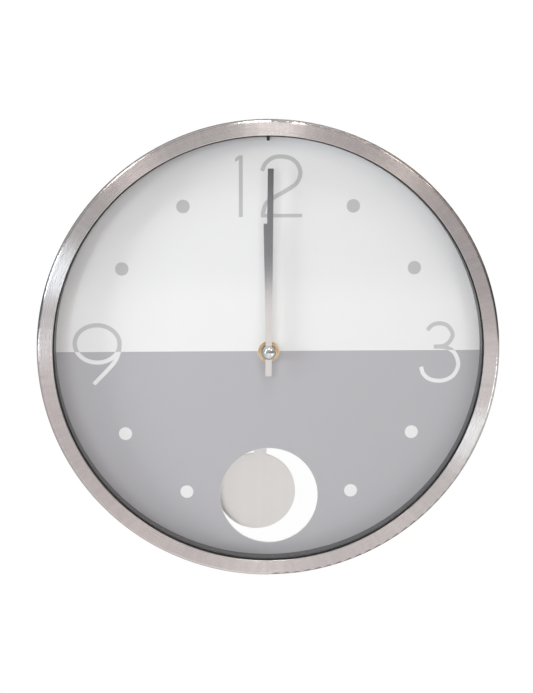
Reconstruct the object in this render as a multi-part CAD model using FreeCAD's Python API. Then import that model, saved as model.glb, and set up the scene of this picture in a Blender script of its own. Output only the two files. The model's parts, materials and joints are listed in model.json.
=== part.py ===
"""Pendulum wall clock: brushed steel ring case, glass lens, printed dial with a round window,
quartz movement with two hands, and a sheet-metal pendulum that shows through the window.

Units are millimetres. X is to the right of somebody who faces the clock, Y points into the wall
and Z is up. The origin is on the hand axis, in the plane of the wall, so the clock lies at y <= 0.
"""
import FreeCAD, Part
import math
import os

V = FreeCAD.Vector

# ---- case and front stack ----
CASE_R = 150.0            # outer radius of the ring
CASE_DEPTH = 42.0         # wall to front face
SHEET = 0.8               # steel sheet of the ring
LIP_R = 139.7             # free edge of the front flange
EDGE_ROUND = 2.0          # outer rounding between front face and side wall
BACK_ROUND = 1.2          # outer rounding between side wall and back flange
BACK_LIP_R = 143.0        # free edge of the back flange
FRONT_Y = -CASE_DEPTH
CASE_BORE_R = CASE_R - SHEET

GASKET_T = 0.5
GASKET_IN_R = 139.0       # shows as a thin black line inside the flange
GASKET_OUT_R = 147.6
LENS_T = 2.0
LENS_R = 148.3
LENS_BEVEL = 0.3
DIAL_DEPTH = 12.1         # front face of the case to the printed face of the dial
DIAL_T = 0.8
DIAL_R = 148.3
SPACER_IN_R = 139.0
SPACER_WALL = 1.8
SPACER_FLANGE = 1.2
SPACER_OUT_R = 148.4
KEY_W = 2.0               # locating key of the spacer, at twelve o'clock
KEY_IN_R = 136.4
KEY_GAP = 0.2
WINDOW_R = 32.6
WINDOW_Z = -98.0
CLAMP_IN_R = 141.0
CLAMP_T = 1.2

LENS_FRONT_Y = FRONT_Y + SHEET + GASKET_T
LENS_BACK_Y = LENS_FRONT_Y + LENS_T
DIAL_Y = FRONT_Y + DIAL_DEPTH
DIAL_BACK_Y = DIAL_Y + DIAL_T
CLAMP_BACK_Y = DIAL_BACK_Y + CLAMP_T

# ---- tabs, jack screws and hanger inside the case ----
TAB_ANGLES = (45, 135, 225, 315)
TAB_T = 1.0
TAB_W = 14.0
TAB_IN_R = 139.5
TAB_FRONT_Y = -24.0
TAB_LEG = 11.0
TAB_SCREW_R = 144.2       # radius of the circle that the jack screws stand on
M3_R = 1.45
M3_HOLE_R = 1.5
M3_HEAD_R = 2.8
M3_HEAD_H = 2.0
M3_HEAD_ROUND = 0.6
M3_SLOT_W = 0.7
M3_SLOT_DEEP = 0.9
M3_HEAD_LIFT = 0.8        # free thread between tab and head

HANGER_T = 1.2
HANGER_W = 34.0
HANGER_LOW_Z = 117.0
HANGER_BACK_Y = -2.0
HANGER_LEG = 17.0
KEYHOLE_R = 4.5
KEYHOLE_Z = 126.0
KEYHOLE_SLOT_R = 2.3
KEYHOLE_TOP_Z = 136.0

# ---- movement housing ----
HOUSE_X = 28.0
HOUSE_TOP = 31.0
HOUSE_LOW = -47.0
HOUSE_CORNER = 4.0
HOUSE_WALL = 1.5
WASHER_T = 1.5            # rubber washer between dial and housing
WASHER_R = 9.5
HOUSE_FRONT_Y = DIAL_BACK_Y + WASHER_T
HOUSE_IN_Y = HOUSE_FRONT_Y + HOUSE_WALL
COVER_Y = HOUSE_FRONT_Y + 14.0
COVER_T = 1.5
COVER_BACK_Y = COVER_Y + COVER_T
BAY_FLOOR_Z = 12.4        # underside of the shelf below the battery
BAY_FLOOR_T = 1.2
BAY_HALF_X = 25.9         # opening for the battery in the rear cover
BAY_LOW_Z = BAY_FLOOR_Z + BAY_FLOOR_T + 0.3
BAY_TOP_Z = 28.9
ARM_SLOT_HALF_X = 12.0    # slot in the bottom wall that the pendulum arm swings in
ARM_SLOT_Y = (-24.0, -16.8)
COVER_POSTS = ((-24.4, 10.2), (24.4, 10.2), (-24.4, -43.2), (24.4, -43.2))
POST_R = 2.6
POST_HOLE_R = 0.95
POST_HOLE_DEEP = 8.0
COVER_SCREW_R = 0.9
COVER_HEAD_R = 2.0
COVER_HEAD_H = 1.2
COVER_SCREW_DEEP = 6.0
PLATE_PILLARS = ((-16.5, 8.0), (-16.5, -8.0), (13.6, -8.3))
PILLAR_R = 1.3
PILLAR_HOLE_R = 0.75
PILLAR_HOLE_DEEP = 2.2
PLATE_SCREW_R = 0.7
PLATE_HEAD_R = 1.5
PLATE_HEAD_H = 0.7
PLATE_SCREW_DEEP = 1.8
CROSS_W = 0.44            # cross recess of both screws, with its reach and depth as shares of the head
CROSS_REACH = 0.62
CROSS_DEEP = 0.55

# ---- bush and fixings in the middle of the dial ----
BUSH_R = 4.0
BUSH_BORE_R = 2.75
BUSH_FRONT_Y = DIAL_Y - 3.1
DIAL_HOLE_R = 4.3
BRASS_WASHER_R = 6.9
BRASS_WASHER_T = 0.5
NUT_AF = 11.0
NUT_H = 2.2
NUT_BEVEL = 1.4           # growth of the bevel cone's radius per millimetre

# ---- gear train: module, teeth; every pair has its own module ----
FIT = 0.05                # radial running clearance
PIVOT_FIT = 0.04
CANNON_TEETH, MOTION_TEETH, MOTION_M = 12, 36, 0.375
MOTION_PINION_TEETH, HOUR_TEETH, HOUR_M = 10, 40, 0.36
THIRD_PINION_TEETH, CENTRE_TEETH, CENTRE_M = 8, 64, 0.23
SECONDS_PINION_TEETH, THIRD_TEETH = 8, 60
INTER_PINION_TEETH, SECONDS_TEETH, SECONDS_M = 8, 40, 0.36
ROTOR_PINION_TEETH, INTER_TEETH, INTER_M = 8, 48, 0.2

MOTION_REACH = MOTION_M * (CANNON_TEETH + MOTION_TEETH) / 2
THIRD_REACH = CENTRE_M * (THIRD_PINION_TEETH + CENTRE_TEETH) / 2
THIRD_M = 2 * THIRD_REACH / (SECONDS_PINION_TEETH + THIRD_TEETH)
INTER_REACH = SECONDS_M * (INTER_PINION_TEETH + SECONDS_TEETH) / 2
ROTOR_REACH = INTER_M * (ROTOR_PINION_TEETH + INTER_TEETH) / 2

MOTION_ANGLE = -60.0      # directions from one arbor to the next, from +X towards +Z
THIRD_ANGLE = 180.0
INTER_ANGLE = 50.0
ROTOR_ANGLE = -20.0

# layers of the train, front to back
HOUR_WHEEL_Y = (-25.9, -25.0)
MOTION_PINION_Y = (-25.9, -24.6)
MOTION_WHEEL_Y = (-24.6, -23.9)
CANNON_Y = (-24.8, -23.6)
PLATE_Y = (-23.4, -22.4)
CENTRE_WHEEL_Y = (-22.0, -21.3)
THIRD_PINION_Y = (-22.1, -20.7)
THIRD_WHEEL_Y = (-20.7, -20.0)
SECONDS_PINION_Y = (-20.9, -19.4)
SECONDS_WHEEL_Y = (-19.4, -18.7)
INTER_PINION_Y = (-19.6, -18.1)
INTER_WHEEL_Y = (-18.1, -17.5)
ROTOR_MAGNET_Y = (-21.6, -18.9)
ROTOR_PINION_Y = (-18.9, -17.2)
STATOR_Y = (-20.7, -19.7)
PIVOT_END_Y = COVER_Y + 0.6
PIVOT_HOLE_END_Y = COVER_Y + 0.8
CENTRE_ARBOR_FRONT_Y = -26.2
CLUTCH_BORE_FRONT_Y = -26.5
PLATE_X = (-19.0, 15.4)
PLATE_Z = (-10.6, 11.6)

HOUR_PIPE_R = 2.70
CANNON_PIPE_R = 2.00
HOUR_PIPE_END_Y = -34.3
SHOULDER_Y = -34.8        # seat of the minute hand
STUD_R = 1.4
STUD_END_Y = -36.4
CENTRE_ARBOR_R = 0.8
FINE_ARBOR_R = 0.4
INTER_ARBOR_R = 0.45
MOTION_ARBOR_R = 0.5
ROTOR_MAGNET_R = 2.8
STATOR_BORE_R = 3.3
STATOR_RING_R = 4.6

# ---- hands ----
HAND_T = 0.4
HOUR_HAND_Y = -33.7
MINUTE_HAND_Y = SHOULDER_Y - HAND_T
MINUTE_TIP = 119.0
MINUTE_TAIL = 15.6
MINUTE_W_HUB = 4.1
MINUTE_W_TIP = 3.75
MINUTE_HUB_R = 4.4
HOUR_TIP = 84.0
HOUR_W = 3.3
HOUR_HUB_R = 4.6
MINUTE_LEAN = 0.75        # degrees clockwise from twelve
HOUR_LEAN = -1.0
CAP_R = 4.75
CAP_H = 2.2

# ---- setting knob ----
KNOB_R = 5.5
KNOB_FRONT_Y = COVER_BACK_Y + 0.5
KNOB_H = 3.0
KNOB_NECK_R = 1.2
KNOB_GROOVES = 20
KNOB_GROOVE_R = 0.45
KNOB_DISH_R = 3.4
KNOB_DISH_DEEP = 0.6

# ---- drive coil of the train ----
COIL_X = 20.6
COIL_LOW, COIL_HIGH = -19.0, 5.0
CORE_W = 3.2
COIL_R = 4.3
COIL_FLANGE_R = 4.6
COIL_FLANGE_T = 0.8
COIL_TUBE_X, COIL_TUBE_Y = 4.8, 2.6
YOKE_TOP = 3.4            # top edge of the stator and the core, above the rotor
STATOR_POSTS = ((17.9, 6.9), (20.6, -21.4))
STATOR_POST_R = 1.3
YOKE_DROP = 4.0           # lower ends of stator and core, below the coil
STATOR_HALF_W = 1.6
STATOR_ARM_LOW = 1.0      # lower edge of the upper arm, above the rotor

# ---- electrics ----
CELL_R = 7.1
CELL_LEN = 49.5
CELL_Z = 21.4
CELL_Y = COVER_Y - 5.2
CELL_LOW_X = -24.9
NUB_R = 2.7
NUB_LEN = 1.0
CONTACT_T = 0.4
CONTACT_HALF_Y = 4.0
CONTACT_HALF_Z = 5.0
DIMPLE_R = 2.0
SPRING_WIRE_R = 0.35
SPRING_WIDE_R = 3.6
SPRING_END_R = 3.4
CELL_ROUND = 0.5
BOARD_X = (-26.0, -10.5)
BOARD_Z = (-38.0, -13.0)
BOARD_Y = -16.2
BOARD_T = 1.0
BOARD_POSTS = ((-23.5, -35.5), (-12.8, -15.5))
BOARD_POST_R = 1.2
CRYSTAL_R = 1.0
CRYSTAL_LEN = 6.0
CRYSTAL_AT = (-22.0, -32.0)
CHIP_X = (-19.0, -13.5)
CHIP_Z = (-26.0, -20.5)
CHIP_T = 1.2

# ---- pendulum ----
PIVOT_Z = -15.0
BOB_R = 26.3
BOB_DROP = 82.8           # pivot to centre of the bob
SWING_AT_REST = 5.75      # stored leaning towards the nine o'clock side
PENDULUM_Y = -20.4        # middle plane of arm and blade
BLADE_T = 1.0
ROD_W = 8.4
ROD_TOP_DROP = 34.5
HOOK_DROP = 38.5
HOOK_R = 1.5
HOOK_FIT = 0.1
ARM_T = 2.0
ARM_W = 4.0
ARM_HUB_R = 2.2
ARM_HUB_PROUD = 1.0       # hub and cheek stand this far proud of the stem
CHEEK_REACH = 3.0         # cheek beyond the stub and above the rod's end
CHEEK_GAP = 0.1           # cheek to blade
STEM_GAP = 0.5            # end of the stem to the end of the rod
STUB_PROUD = 0.6          # stub beyond the blade
MAGNET_PROUD = 0.3        # magnet beyond the arm, towards the coil
ARM_PIN_R = 0.8
MAGNET_DROP = 22.0
MAGNET_R = 4.0
MAGNET_RIM_R = 5.2
DRIVE_CORE_R = 2.2
DRIVE_COIL_R = 7.5
DRIVE_FLANGE_T = 0.6
DRIVE_COIL_Y = (-18.4, COVER_Y)


# ---------------------------------------------------------------- helpers

def rod(radius, y0, y1, x=0.0, z=0.0):
    """Cylinder along Y."""
    return Part.makeCylinder(radius, y1 - y0, V(x, y0, z), V(0, 1, 0))


def tube(inner, outer, y0, y1, x=0.0, z=0.0):
    return rod(outer, y0, y1, x, z).cut(rod(inner, y0, y1, x, z))


def block(x0, x1, y0, y1, z0, z1):
    return Part.makeBox(x1 - x0, y1 - y0, z1 - z0, V(x0, y0, z0))


def plate(outline, y0, y1):
    """Flat plate from a closed outline of (x, z) points."""
    points = [V(x, y0, z) for x, z in outline]
    face = Part.Face(Part.makePolygon(points + points[:1]))
    return face.extrude(V(0, y1 - y0, 0))


def spun(edges):
    """Solid of revolution about the hand axis, from a closed profile in x = radius, y."""
    face = Part.Face(Part.Wire(edges))
    return face.revolve(V(0, 0, 0), V(0, 1, 0), 360)


def line(a, b):
    return Part.LineSegment(V(a[0], a[1], 0), V(b[0], b[1], 0)).toShape()


def arc(a, mid, b):
    return Part.Arc(V(a[0], a[1], 0), V(mid[0], mid[1], 0), V(b[0], b[1], 0)).toShape()


def corner(centre, radius, start, end):
    """Quarter or half arc about a centre, between two directions in degrees."""
    def at(angle):
        turn = math.radians(angle)
        return (centre[0] + radius * math.cos(turn), centre[1] + radius * math.sin(turn))
    return arc(at(start), at((start + end) / 2), at(end))


def fused(first, *others):
    return first.fuse(list(others)).removeSplitter()


def turned(shape, degrees, x=0.0, z=0.0):
    """Turn a shape clockwise, as seen from the front, about an axis along Y."""
    moved = shape.copy()
    moved.rotate(V(x, 0, z), V(0, 1, 0), degrees)
    return moved


def polar(reach, degrees, start=(0.0, 0.0)):
    turn = math.radians(degrees)
    return (start[0] + reach * math.cos(turn), start[1] + reach * math.sin(turn))


def gear(module, teeth, layer, centre=(0.0, 0.0), aim=0.0, gap=False):
    """Spur gear with thinned involute teeth; a tooth, or a gap, points along aim degrees."""
    pitch_r = module * teeth / 2
    base_r = pitch_r * math.cos(math.radians(20))
    tip_r = pitch_r + 0.8 * module
    root_r = pitch_r - 1.15 * module
    half_at_pitch = 0.42 * math.pi / teeth

    def involute(radius):
        tan = math.sqrt(max((radius / base_r) ** 2 - 1, 0.0))
        return tan - math.atan(tan)

    def half_angle(radius):
        return half_at_pitch + involute(pitch_r) - involute(radius)

    flank = [(radius, half_angle(radius)) for radius in (root_r, pitch_r, tip_r)]
    outline = []
    for number in range(teeth):
        middle = math.radians(aim) + (number + (0.5 if gap else 0.0)) * 2 * math.pi / teeth
        side = [(radius, middle - half) for radius, half in flank]
        side += [(radius, middle + half) for radius, half in reversed(flank)]
        outline += [(centre[0] + r * math.cos(a), centre[1] + r * math.sin(a)) for r, a in side]
    return plate(outline, layer[0], layer[1])


MOTION_AT = polar(MOTION_REACH, MOTION_ANGLE)
THIRD_AT = polar(THIRD_REACH, THIRD_ANGLE)
INTER_AT = polar(INTER_REACH, INTER_ANGLE)
ROTOR_AT = polar(ROTOR_REACH, ROTOR_ANGLE, INTER_AT)


# ---------------------------------------------------------------- case and front

def case_ring():
    """Rolled ring with a flat front flange, a rounded shoulder and a narrow back flange."""
    hem = SHEET / 2
    inner_shoulder = EDGE_ROUND - SHEET
    inner_back = BACK_ROUND - SHEET
    front = (CASE_R - EDGE_ROUND, FRONT_Y + EDGE_ROUND)
    back = (CASE_R - BACK_ROUND, -BACK_ROUND)
    return spun([
        line((LIP_R + hem, FRONT_Y), (front[0], FRONT_Y)),
        corner(front, EDGE_ROUND, 270, 360),
        line((CASE_R, front[1]), (CASE_R, back[1])),
        corner(back, BACK_ROUND, 0, 90),
        line((back[0], 0), (BACK_LIP_R + hem, 0)),
        corner((BACK_LIP_R + hem, -hem), hem, 90, 270),
        line((BACK_LIP_R + hem, -SHEET), (back[0], -SHEET)),
        corner(back, inner_back, 90, 0),
        line((CASE_BORE_R, back[1]), (CASE_BORE_R, front[1])),
        corner(front, inner_shoulder, 360, 270),
        line((front[0], FRONT_Y + SHEET), (LIP_R + hem, FRONT_Y + SHEET)),
        corner((LIP_R + hem, FRONT_Y + hem), hem, 90, 270),
    ])


def lens_gasket():
    return tube(GASKET_IN_R, GASKET_OUT_R, FRONT_Y + SHEET, LENS_FRONT_Y)


def lens():
    disc = rod(LENS_R, LENS_FRONT_Y, LENS_BACK_Y)
    rims = [edge for edge in disc.Edges if isinstance(edge.Curve, Part.Circle)]
    return disc.makeChamfer(LENS_BEVEL, rims)


def spacer_ring():
    """Black ring of channel section, with a key that locates the dial at twelve o'clock."""
    wall = tube(SPACER_IN_R, SPACER_IN_R + SPACER_WALL, LENS_BACK_Y, DIAL_Y)
    front = tube(SPACER_IN_R, SPACER_OUT_R, LENS_BACK_Y, LENS_BACK_Y + SPACER_FLANGE)
    back = tube(SPACER_IN_R, SPACER_OUT_R, DIAL_Y - SPACER_FLANGE, DIAL_Y)
    key_top = SPACER_IN_R + SPACER_WALL / 2
    key = block(-KEY_W / 2, KEY_W / 2, DIAL_Y - SPACER_FLANGE, DIAL_Y + DIAL_T, KEY_IN_R, key_top)
    return fused(wall, front, back, key)


def dial():
    disc = rod(DIAL_R, DIAL_Y, DIAL_BACK_Y)
    disc = disc.cut(rod(WINDOW_R, DIAL_Y, DIAL_BACK_Y, 0, WINDOW_Z))
    disc = disc.cut(rod(DIAL_HOLE_R, DIAL_Y, DIAL_BACK_Y))
    half_notch = KEY_W / 2 + KEY_GAP
    return disc.cut(block(-half_notch, half_notch, DIAL_Y, DIAL_BACK_Y, KEY_IN_R - KEY_GAP, DIAL_R + 1))


def clamp_ring():
    return tube(CLAMP_IN_R, DIAL_R, DIAL_BACK_Y, CLAMP_BACK_Y)


def case_tabs():
    """Four angle tabs, spot-welded inside the case wall."""
    half = TAB_W / 2
    flat = block(TAB_IN_R, CASE_R, TAB_FRONT_Y, TAB_FRONT_Y + TAB_T, -half, half)
    leg = tube(CASE_BORE_R - TAB_T, CASE_BORE_R, TAB_FRONT_Y, TAB_FRONT_Y + TAB_LEG)
    leg = leg.common(block(TAB_IN_R, CASE_R, TAB_FRONT_Y, 0, -half, half))
    tab = fused(flat.common(rod(CASE_BORE_R, TAB_FRONT_Y, 0)), leg)
    tab = tab.cut(rod(M3_HOLE_R, TAB_FRONT_Y, TAB_FRONT_Y + TAB_T, TAB_SCREW_R))
    return Part.makeCompound([turned(tab, angle) for angle in TAB_ANGLES])


def clamp_screws():
    """Jack screws: threaded through the tabs, their tips press the clamp ring forward."""
    head_y = TAB_FRONT_Y + TAB_T + M3_HEAD_LIFT
    back_y = head_y + M3_HEAD_H
    shank = rod(M3_R, CLAMP_BACK_Y, head_y, TAB_SCREW_R)
    head = rod(M3_HEAD_R, head_y, back_y, TAB_SCREW_R)
    head = head.makeFillet(M3_HEAD_ROUND, [head.Edges[0]])
    slot = block(TAB_SCREW_R - M3_HEAD_R, TAB_SCREW_R + M3_HEAD_R, back_y - M3_SLOT_DEEP, back_y,
                 -M3_SLOT_W / 2, M3_SLOT_W / 2)
    screw = fused(shank, head).cut(slot)
    return Part.makeCompound([turned(screw, angle) for angle in TAB_ANGLES])


def hanger_bracket():
    """Steel angle under the top of the case, with a keyhole for the wall screw."""
    half = HANGER_W / 2
    front_y = HANGER_BACK_Y - HANGER_T
    flat = block(-half, half, front_y, HANGER_BACK_Y, HANGER_LOW_Z, CASE_R)
    flat = flat.common(rod(CASE_BORE_R, front_y, HANGER_BACK_Y))
    leg = tube(CASE_BORE_R - HANGER_T, CASE_BORE_R, HANGER_BACK_Y - HANGER_LEG, HANGER_BACK_Y)
    leg = leg.common(block(-half, half, -CASE_DEPTH, 0, HANGER_LOW_Z, CASE_R))
    entry = rod(KEYHOLE_R, front_y, HANGER_BACK_Y, 0, KEYHOLE_Z)
    slot = block(-KEYHOLE_SLOT_R, KEYHOLE_SLOT_R, front_y, HANGER_BACK_Y, KEYHOLE_Z, KEYHOLE_TOP_Z)
    end = rod(KEYHOLE_SLOT_R, front_y, HANGER_BACK_Y, 0, KEYHOLE_TOP_Z)
    return fused(flat, leg).cut(entry).cut(slot).cut(end)


# ---------------------------------------------------------------- movement housing

def housing_outline(y0, y1):
    body = block(-HOUSE_X, HOUSE_X, y0, y1, HOUSE_LOW, HOUSE_TOP)
    corners = [edge for edge in body.Edges if abs(edge.tangentAt(edge.FirstParameter).y) > 0.9]
    return body.makeFillet(HOUSE_CORNER, corners)


def movement_housing():
    """Front shell of the movement: tray, battery shelf, screw posts, pillars and stator stands."""
    inside = block(-HOUSE_X + HOUSE_WALL, HOUSE_X - HOUSE_WALL, HOUSE_IN_Y, COVER_Y,
                   HOUSE_LOW + HOUSE_WALL, HOUSE_TOP - HOUSE_WALL)
    corners = [edge for edge in inside.Edges if abs(edge.tangentAt(edge.FirstParameter).y) > 0.9]
    shell = housing_outline(HOUSE_FRONT_Y, COVER_Y).cut(inside.makeFillet(HOUSE_CORNER - HOUSE_WALL, corners))
    in_x = HOUSE_X - HOUSE_WALL
    shelf = block(-in_x, in_x, HOUSE_IN_Y, COVER_Y, BAY_FLOOR_Z, BAY_FLOOR_Z + BAY_FLOOR_T)
    posts = [rod(POST_R, HOUSE_IN_Y, COVER_Y, x, z) for x, z in COVER_POSTS]
    pillars = [rod(PILLAR_R, HOUSE_IN_Y, PLATE_Y[0], x, z) for x, z in PLATE_PILLARS]
    stands = [rod(STATOR_POST_R, HOUSE_IN_Y, STATOR_Y[0], x, z) for x, z in STATOR_POSTS]
    shell = fused(shell, shelf, *posts, *pillars, *stands)
    for x, z in COVER_POSTS:
        shell = shell.cut(rod(POST_HOLE_R, COVER_Y - POST_HOLE_DEEP, COVER_Y, x, z))
    for x, z in PLATE_PILLARS:
        shell = shell.cut(rod(PILLAR_HOLE_R, PLATE_Y[0] - PILLAR_HOLE_DEEP, PLATE_Y[0], x, z))
    shell = shell.cut(rod(BUSH_R, HOUSE_FRONT_Y, HOUSE_IN_Y))
    shell = shell.cut(rod(MOTION_ARBOR_R + FIT, HOUSE_IN_Y - 0.9, HOUSE_IN_Y, *MOTION_AT))
    arm_slot = block(-ARM_SLOT_HALF_X, ARM_SLOT_HALF_X, *ARM_SLOT_Y, HOUSE_LOW, HOUSE_LOW + HOUSE_WALL)
    return shell.cut(arm_slot)


def movement_rear_cover():
    cover = housing_outline(COVER_Y, COVER_BACK_Y)
    cover = cover.cut(block(-BAY_HALF_X, BAY_HALF_X, COVER_Y, COVER_BACK_Y, BAY_LOW_Z, BAY_TOP_Z))
    cover = cover.cut(rod(KNOB_NECK_R + FIT, COVER_Y, COVER_BACK_Y, *MOTION_AT))
    pivots = [(FINE_ARBOR_R, place) for place in ((0.0, 0.0), THIRD_AT, ROTOR_AT)]
    pivots.append((INTER_ARBOR_R, INTER_AT))
    for radius, place in pivots:
        cover = cover.cut(rod(radius + PIVOT_FIT, COVER_Y, PIVOT_HOLE_END_Y, *place))
    for x, z in COVER_POSTS:
        cover = cover.cut(rod(COVER_SCREW_R, COVER_Y, COVER_BACK_Y, x, z))
    return fused(cover, *[rod(BOARD_POST_R, BOARD_Y + BOARD_T, COVER_Y, x, z) for x, z in BOARD_POSTS])


def screw_group(places, shank_r, head_r, tip_y, seat_y, head_h):
    """Pan-head screws along Y with a cross recess, heads towards the wall."""
    screws = []
    for x, z in places:
        back_y = seat_y + head_h
        head = rod(head_r, seat_y, back_y, x, z)
        reach = head_r * CROSS_REACH
        floor_y = back_y - head_h * CROSS_DEEP
        half = CROSS_W / 2
        cross = block(x - reach, x + reach, floor_y, back_y, z - half, z + half)
        cross = cross.fuse(block(x - half, x + half, floor_y, back_y, z - reach, z + reach))
        screws.append(fused(rod(shank_r, tip_y, seat_y, x, z), head).cut(cross))
    return Part.makeCompound(screws)


def cover_screws():
    return screw_group(COVER_POSTS, COVER_SCREW_R, COVER_HEAD_R, COVER_Y - COVER_SCREW_DEEP,
                       COVER_BACK_Y, COVER_HEAD_H)


def plate_screws():
    return screw_group(PLATE_PILLARS, PLATE_SCREW_R, PLATE_HEAD_R, PLATE_Y[0] - PLATE_SCREW_DEEP,
                       PLATE_Y[1], PLATE_HEAD_H)


def train_plate():
    """Plate in the middle of the movement that carries the front pivots."""
    sheet = block(*PLATE_X, *PLATE_Y, *PLATE_Z)
    holes = [
        (CENTRE_ARBOR_R + FIT, (0.0, 0.0)),
        (MOTION_ARBOR_R + FIT, MOTION_AT),
        (FINE_ARBOR_R + PIVOT_FIT, THIRD_AT),
        (INTER_ARBOR_R + PIVOT_FIT, INTER_AT),
        (FINE_ARBOR_R + PIVOT_FIT, ROTOR_AT),
    ]
    holes += [(PLATE_SCREW_R, place) for place in PLATE_PILLARS]
    for radius, place in holes:
        sheet = sheet.cut(rod(radius, PLATE_Y[0], PLATE_Y[1], *place))
    return sheet


def threaded_bushing():
    return tube(BUSH_BORE_R, BUSH_R, BUSH_FRONT_Y, HOUSE_IN_Y - 0.1)


def rubber_washer():
    return tube(DIAL_HOLE_R, WASHER_R, DIAL_BACK_Y, HOUSE_FRONT_Y)


def brass_washer():
    return tube(BUSH_R + FIT, BRASS_WASHER_R, DIAL_Y - BRASS_WASHER_T, DIAL_Y)


def hex_nut():
    back_y = DIAL_Y - BRASS_WASHER_T
    corner_r = NUT_AF / math.sqrt(3)
    prism = plate([polar(corner_r, 60 * i) for i in range(6)], back_y - NUT_H, back_y)
    wide_r = NUT_AF / 2 + NUT_H * NUT_BEVEL
    bevel = Part.makeCone(NUT_AF / 2, wide_r, NUT_H, V(0, back_y - NUT_H, 0), V(0, 1, 0))
    return prism.common(bevel).cut(rod(BUSH_R + FIT, back_y - NUT_H, back_y))


# ---------------------------------------------------------------- hands and motion work

def hour_wheel():
    wheel = gear(HOUR_M, HOUR_TEETH, HOUR_WHEEL_Y, aim=MOTION_ANGLE)
    pipe = rod(HOUR_PIPE_R, HOUR_PIPE_END_Y, HOUR_WHEEL_Y[1])
    bore = rod(CANNON_PIPE_R + FIT, HOUR_PIPE_END_Y, HOUR_WHEEL_Y[1])
    return fused(wheel, pipe).cut(bore)


def cannon_pinion():
    """Minute pipe: pinion at the back, shoulder and stud for the minute hand at the front."""
    pinion = gear(MOTION_M, CANNON_TEETH, CANNON_Y, aim=MOTION_ANGLE)
    pipe = rod(CANNON_PIPE_R, SHOULDER_Y, CANNON_Y[0])
    stud = rod(STUD_R, STUD_END_Y, SHOULDER_Y)
    clutch_bore = rod(CENTRE_ARBOR_R + PIVOT_FIT, CLUTCH_BORE_FRONT_Y, CANNON_Y[1])
    return fused(pinion, pipe, stud).cut(clutch_bore)


def minute_hand():
    half_hub, half_tip = MINUTE_W_HUB / 2, MINUTE_W_TIP / 2
    outline = [(-half_hub, -MINUTE_TAIL), (half_hub, -MINUTE_TAIL), (half_hub, 0),
               (half_tip, MINUTE_TIP), (-half_tip, MINUTE_TIP), (-half_hub, 0)]
    blade = plate(outline, MINUTE_HAND_Y, SHOULDER_Y)
    hand = fused(blade, rod(MINUTE_HUB_R, MINUTE_HAND_Y, SHOULDER_Y))
    return turned(hand.cut(rod(STUD_R, MINUTE_HAND_Y, SHOULDER_Y)), MINUTE_LEAN)


def hand_cap_nut():
    """Domed closed nut that holds the minute hand."""
    base_y = MINUTE_HAND_Y
    dome_r = (CAP_R ** 2 + CAP_H ** 2) / (2 * CAP_H)
    dome = Part.makeSphere(dome_r, V(0, base_y - CAP_H + dome_r, 0))
    dome = dome.common(rod(CAP_R + 1, base_y - CAP_H, base_y))
    return dome.cut(rod(STUD_R, STUD_END_Y, base_y))


def hour_hand():
    back_y = HOUR_HAND_Y + HAND_T
    blade = block(-HOUR_W / 2, HOUR_W / 2, HOUR_HAND_Y, back_y, 0, HOUR_TIP)
    hand = fused(blade, rod(HOUR_HUB_R, HOUR_HAND_Y, back_y))
    return turned(hand.cut(rod(HOUR_PIPE_R, HOUR_HAND_Y, back_y)), HOUR_LEAN)


def motion_wheel():
    wheel = gear(MOTION_M, MOTION_TEETH, MOTION_WHEEL_Y, MOTION_AT, MOTION_ANGLE + 180, gap=True)
    pinion = gear(HOUR_M, MOTION_PINION_TEETH, MOTION_PINION_Y, MOTION_AT, MOTION_ANGLE + 180, gap=True)
    arbor = rod(MOTION_ARBOR_R, HOUSE_IN_Y - 0.7, COVER_BACK_Y, *MOTION_AT)
    return fused(wheel, pinion, arbor)


def setting_knob():
    """Grooved knob on the back of the movement, pressed onto the arbor of the motion wheel."""
    x, z = MOTION_AT
    back_y = KNOB_FRONT_Y + KNOB_H
    cap = rod(KNOB_R, KNOB_FRONT_Y, back_y, x, z)
    groove = rod(KNOB_GROOVE_R, KNOB_FRONT_Y, back_y, x + KNOB_R, z)
    step = 360 / KNOB_GROOVES
    cap = cap.cut([turned(groove, number * step, x, z) for number in range(KNOB_GROOVES)])
    dish = rod(KNOB_DISH_R, back_y - KNOB_DISH_DEEP, back_y, x, z)
    neck = rod(KNOB_NECK_R, COVER_Y - 0.3, KNOB_FRONT_Y, x, z)
    return fused(cap.cut(dish), neck).cut(rod(MOTION_ARBOR_R, COVER_Y - 0.3, COVER_BACK_Y, x, z))


# ---------------------------------------------------------------- going train

def centre_wheel():
    wheel = gear(CENTRE_M, CENTRE_TEETH, CENTRE_WHEEL_Y, aim=THIRD_ANGLE)
    arbor = rod(CENTRE_ARBOR_R, CENTRE_ARBOR_FRONT_Y, CENTRE_WHEEL_Y[1])
    bore = rod(FINE_ARBOR_R + PIVOT_FIT, CENTRE_WHEEL_Y[0] - 0.8, CENTRE_WHEEL_Y[1])
    return fused(wheel, arbor).cut(bore)


def third_wheel():
    pinion = gear(CENTRE_M, THIRD_PINION_TEETH, THIRD_PINION_Y, THIRD_AT, THIRD_ANGLE + 180, gap=True)
    wheel = gear(THIRD_M, THIRD_TEETH, THIRD_WHEEL_Y, THIRD_AT, THIRD_ANGLE + 180, gap=True)
    return fused(pinion, wheel, rod(FINE_ARBOR_R, PLATE_Y[0], PIVOT_END_Y, *THIRD_AT))


def seconds_wheel():
    pinion = gear(THIRD_M, SECONDS_PINION_TEETH, SECONDS_PINION_Y, aim=THIRD_ANGLE)
    wheel = gear(SECONDS_M, SECONDS_TEETH, SECONDS_WHEEL_Y, aim=INTER_ANGLE)
    return fused(pinion, wheel, rod(FINE_ARBOR_R, CENTRE_WHEEL_Y[0] - 0.5, PIVOT_END_Y))


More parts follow.
